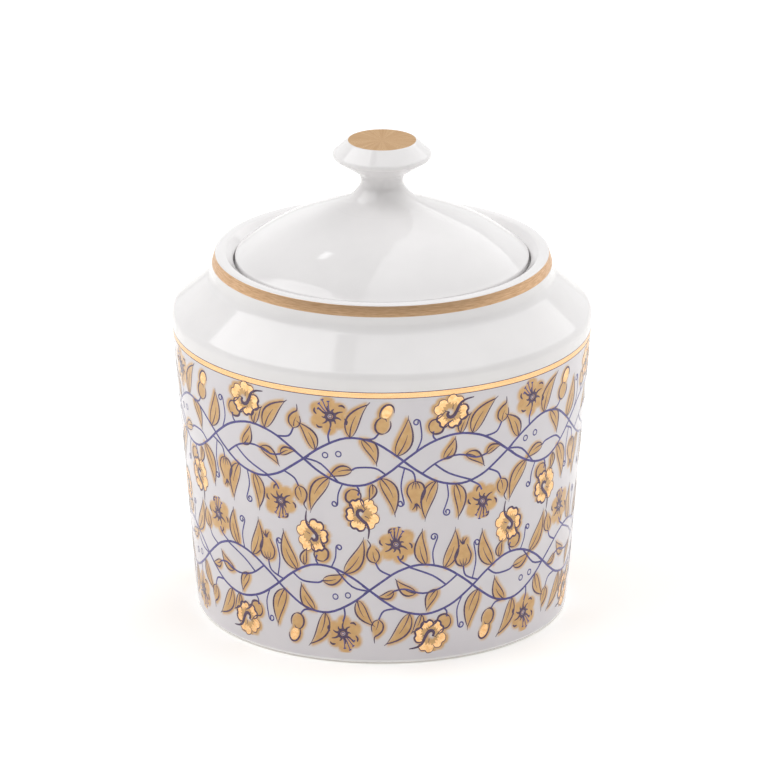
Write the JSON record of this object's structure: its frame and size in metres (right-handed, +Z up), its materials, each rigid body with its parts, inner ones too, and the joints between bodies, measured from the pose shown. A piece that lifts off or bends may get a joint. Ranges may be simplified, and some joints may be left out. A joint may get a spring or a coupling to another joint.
{
  "type": "sugar bowl",
  "caption": "Round porcelain sugar bowl with a slightly flared wall, sloping shoulder, upright lip and loose domed lid with a waisted knob.",
  "frame": {"origin": "centre of the foot ring, on the table", "axes": "+Z up along the axis of rotation, -Y towards the viewer of the picture"},
  "size_m": [0.096, 0.096, 0.1111],
  "materials": {
    "porcelain": "clear glossy glaze over cool white hard-paste porcelain",
    "knob_porcelain": "clear glossy glaze, the flat top gilded",
    "gilding": "fired burnished gold on the lip band, the shoulder line and the knob's top, thinner than any solid here",
    "transfer": "on-glaze printed floral scroll in cobalt violet, ochre and bright gold"
  },
  "bodies": {
    "bowl": {"bowl": "porcelain"},
    "lid": {"lid": "porcelain", "lid_knob": "knob_porcelain"}
  },
  "joints": [
    {"name": "lid_lift", "type": "slide", "parent": "bowl", "child": "lid", "axis": [0, 0, 1], "range_m": [0, 0.06]}
  ]
}
